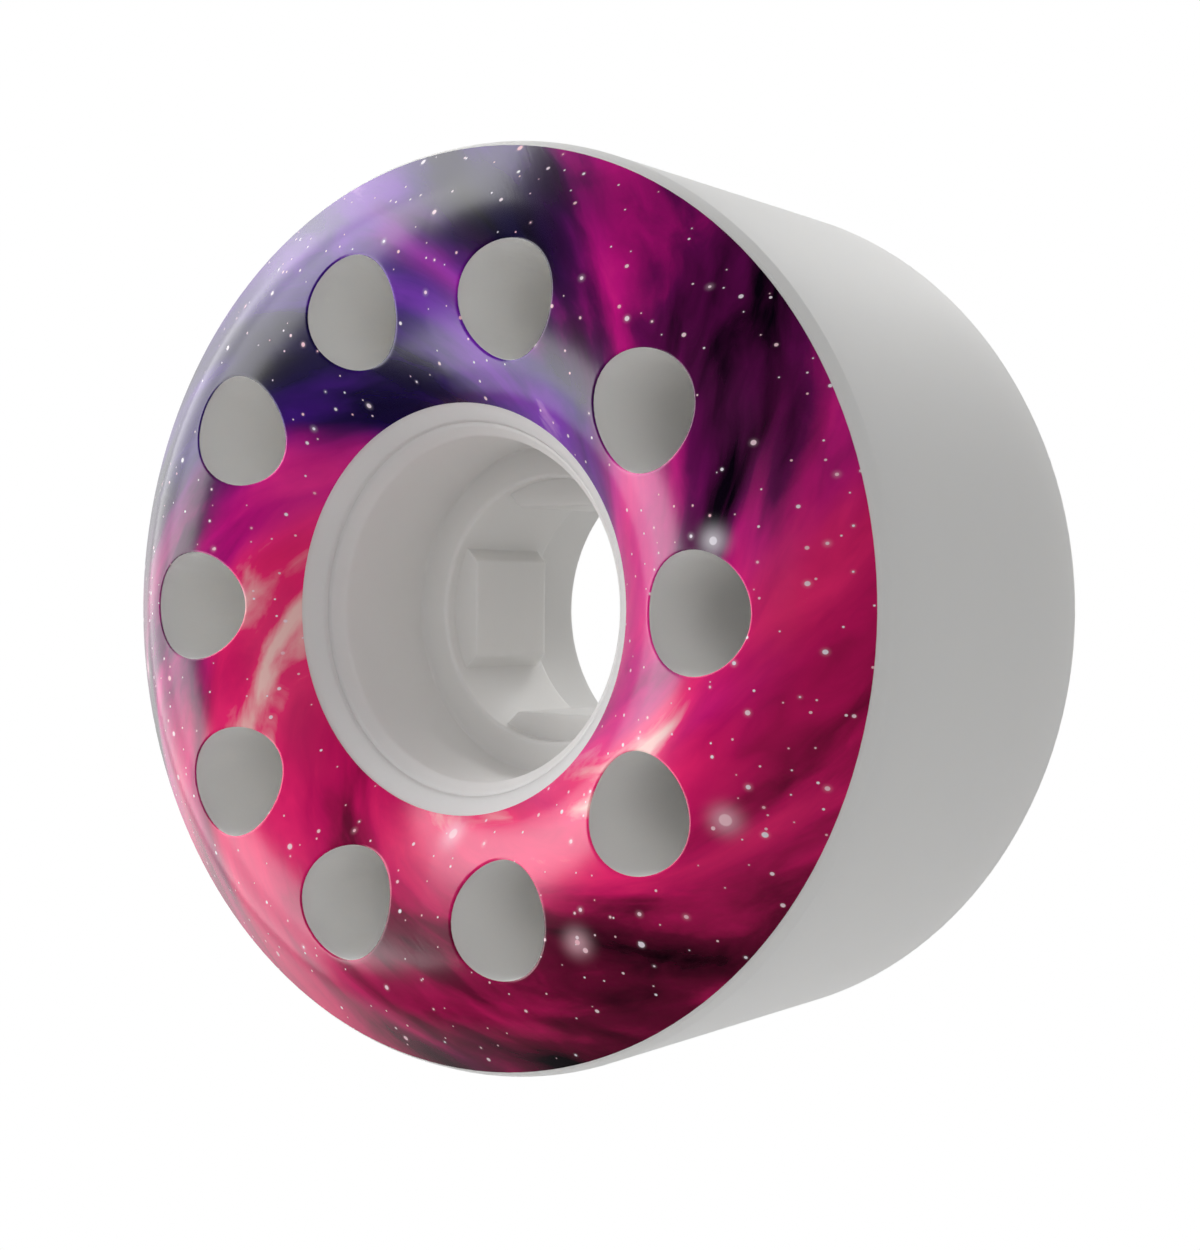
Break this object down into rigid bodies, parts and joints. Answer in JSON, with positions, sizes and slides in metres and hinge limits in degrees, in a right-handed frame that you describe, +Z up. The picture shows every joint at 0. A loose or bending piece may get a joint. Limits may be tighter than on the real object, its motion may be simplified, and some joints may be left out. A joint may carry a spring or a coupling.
{
  "type": "skateboard wheel",
  "caption": "Skateboard wheel with a cast urethane tyre on a keyed hub core, crowned pocketed faces, a glossy space print on the front and a bearing seat at each end.",
  "frame": {"origin": "middle of the wheel on the axle line, halfway between the two bearing shoulders", "axes": "+Y along the axle line towards the plain rear face, printed front towards -Y, +Z up"},
  "size_m": [0.059, 0.0369, 0.059],
  "materials": {
    "urethane": "white cast urethane, smooth satin",
    "core_plastic": "white moulded nylon, satin",
    "print": "glossy full-colour space print in navy, violet, magenta and crimson"
  },
  "bodies": {
    "root": {"tyre": "urethane", "hub_core": "core_plastic", "printed_face": "print"}
  },
  "joints": []
}
